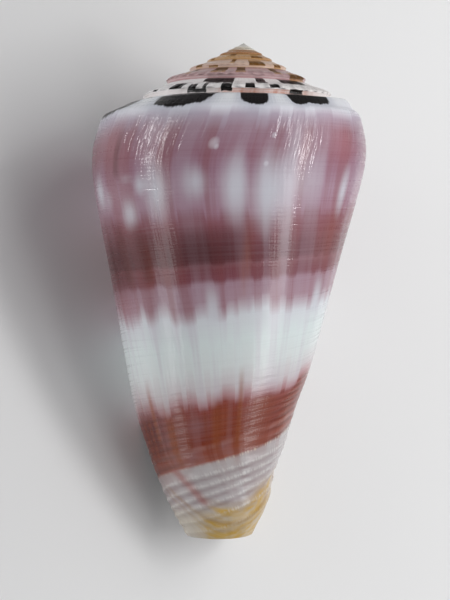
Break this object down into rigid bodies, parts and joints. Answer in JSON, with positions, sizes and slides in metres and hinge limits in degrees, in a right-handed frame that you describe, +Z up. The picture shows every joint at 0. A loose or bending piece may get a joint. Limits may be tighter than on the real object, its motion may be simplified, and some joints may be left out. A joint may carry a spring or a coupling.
{
  "type": "gauguin cone shell",
  "caption": "Cone-shaped marine snail shell with a low stepped spire and a long narrow mouth, lying on its mouth side.",
  "frame": {"origin": "centre of the bounding box's footprint, on the surface that the shell lies on", "axes": "+Y towards the apex, +Z up, away from the side that the mouth is on, +X to the right of the back seen with the apex at the top"},
  "size_m": [0.043, 0.0784, 0.0394],
  "materials": {
    "shell": "glossy natural shell, pink and white with maroon bands and black spots on the spire"
  },
  "bodies": {
    "root": {"shell": "shell"}
  },
  "joints": []
}
